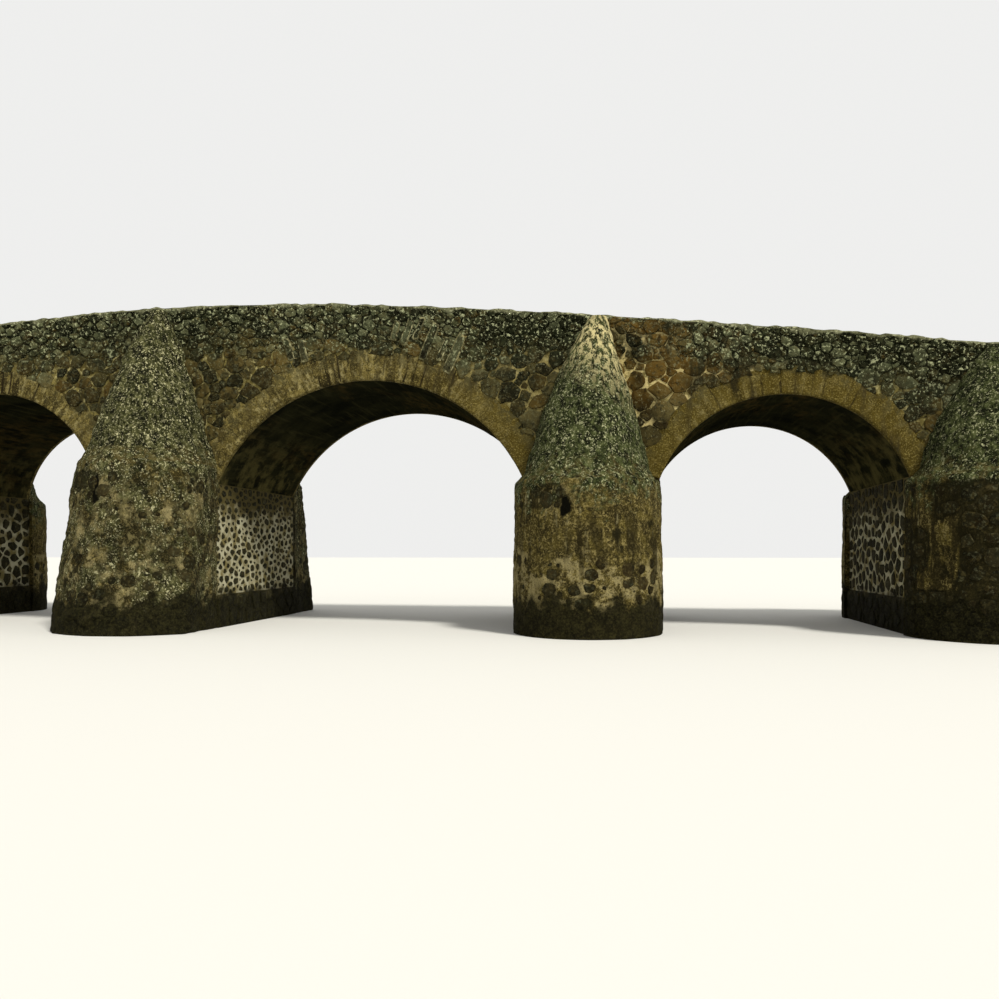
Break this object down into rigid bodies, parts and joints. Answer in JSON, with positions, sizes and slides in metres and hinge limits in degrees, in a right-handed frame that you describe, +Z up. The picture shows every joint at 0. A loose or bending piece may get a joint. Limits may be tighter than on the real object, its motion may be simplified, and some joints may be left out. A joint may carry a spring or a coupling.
{
  "type": "stone arch bridge",
  "caption": "Old humped masonry bridge with segmental arches on river piers, half-round battered cutwaters under tall cone-shaped hoods, and solid rubble parapets.",
  "frame": {"origin": "at the lowest waterline, under the middle of the bridge", "axes": "+X along the bridge to the right of the pictured face, -Y out of the pictured face, +Z up"},
  "size_m": [31, 9.02, 6.8187],
  "materials": {
    "ring_stone": "lime-plastered radial stones, weathered",
    "wall_rubble": "dark volcanic rubble in buff lime mortar",
    "parapet_rubble": "small rubble with pale lichen",
    "vault_stone": "sooty mortar with board marks",
    "pier_masonry": "small dark stones in pale mortar",
    "plinth_masonry": "damp dark rubble",
    "hood_render": "rough mossy render",
    "drum_render": "worn ochre render over rubble",
    "fill_rubble": "rubble fill",
    "road_surface": "worn stone paving bedded in earth"
  },
  "bodies": {
    "root": {"abutment_left": "pier_masonry", "abutment_right": "pier_masonry", "buttress_left_drums": "drum_render", "buttress_left_hoods": "hood_render", "buttress_right_drums": "drum_render", "buttress_right_hoods": "hood_render", "cutwater_left_drums": "drum_render", "cutwater_left_hoods": "hood_render", "cutwater_right_drums": "drum_render", "cutwater_right_hoods": "hood_render", "fill": "fill_rubble", "parapet_left_back": "parapet_rubble", "parapet_left_front": "parapet_rubble", "parapet_middle_back": "parapet_rubble", "parapet_middle_front": "parapet_rubble", "parapet_right_back": "parapet_rubble", "parapet_right_front": "parapet_rubble", "pier_left": "pier_masonry", "pier_right": "pier_masonry", "plinths": "plinth_masonry", "ring_left_crown": "ring_stone", "ring_left_haunches": "ring_stone", "ring_left_springers": "ring_stone", "ring_main_crown": "ring_stone", "ring_main_haunches": "ring_stone", "ring_main_springers": "ring_stone", "ring_right_crown": "ring_stone", "ring_right_haunches": "ring_stone", "ring_right_springers": "ring_stone", "roadway_left": "road_surface", "roadway_middle": "road_surface", "roadway_right": "road_surface", "spandrel_left_end": "wall_rubble", "spandrel_left_pier": "wall_rubble", "spandrel_right_end": "wall_rubble", "spandrel_right_pier": "wall_rubble", "vault_left_crown": "vault_stone", "vault_left_haunches": "vault_stone", "vault_left_springers": "vault_stone", "vault_main_crown": "vault_stone", "vault_main_haunches": "vault_stone", "vault_main_springers": "vault_stone", "vault_right_crown": "vault_stone", "vault_right_haunches": "vault_stone", "vault_right_springers": "vault_stone"}
  },
  "joints": []
}
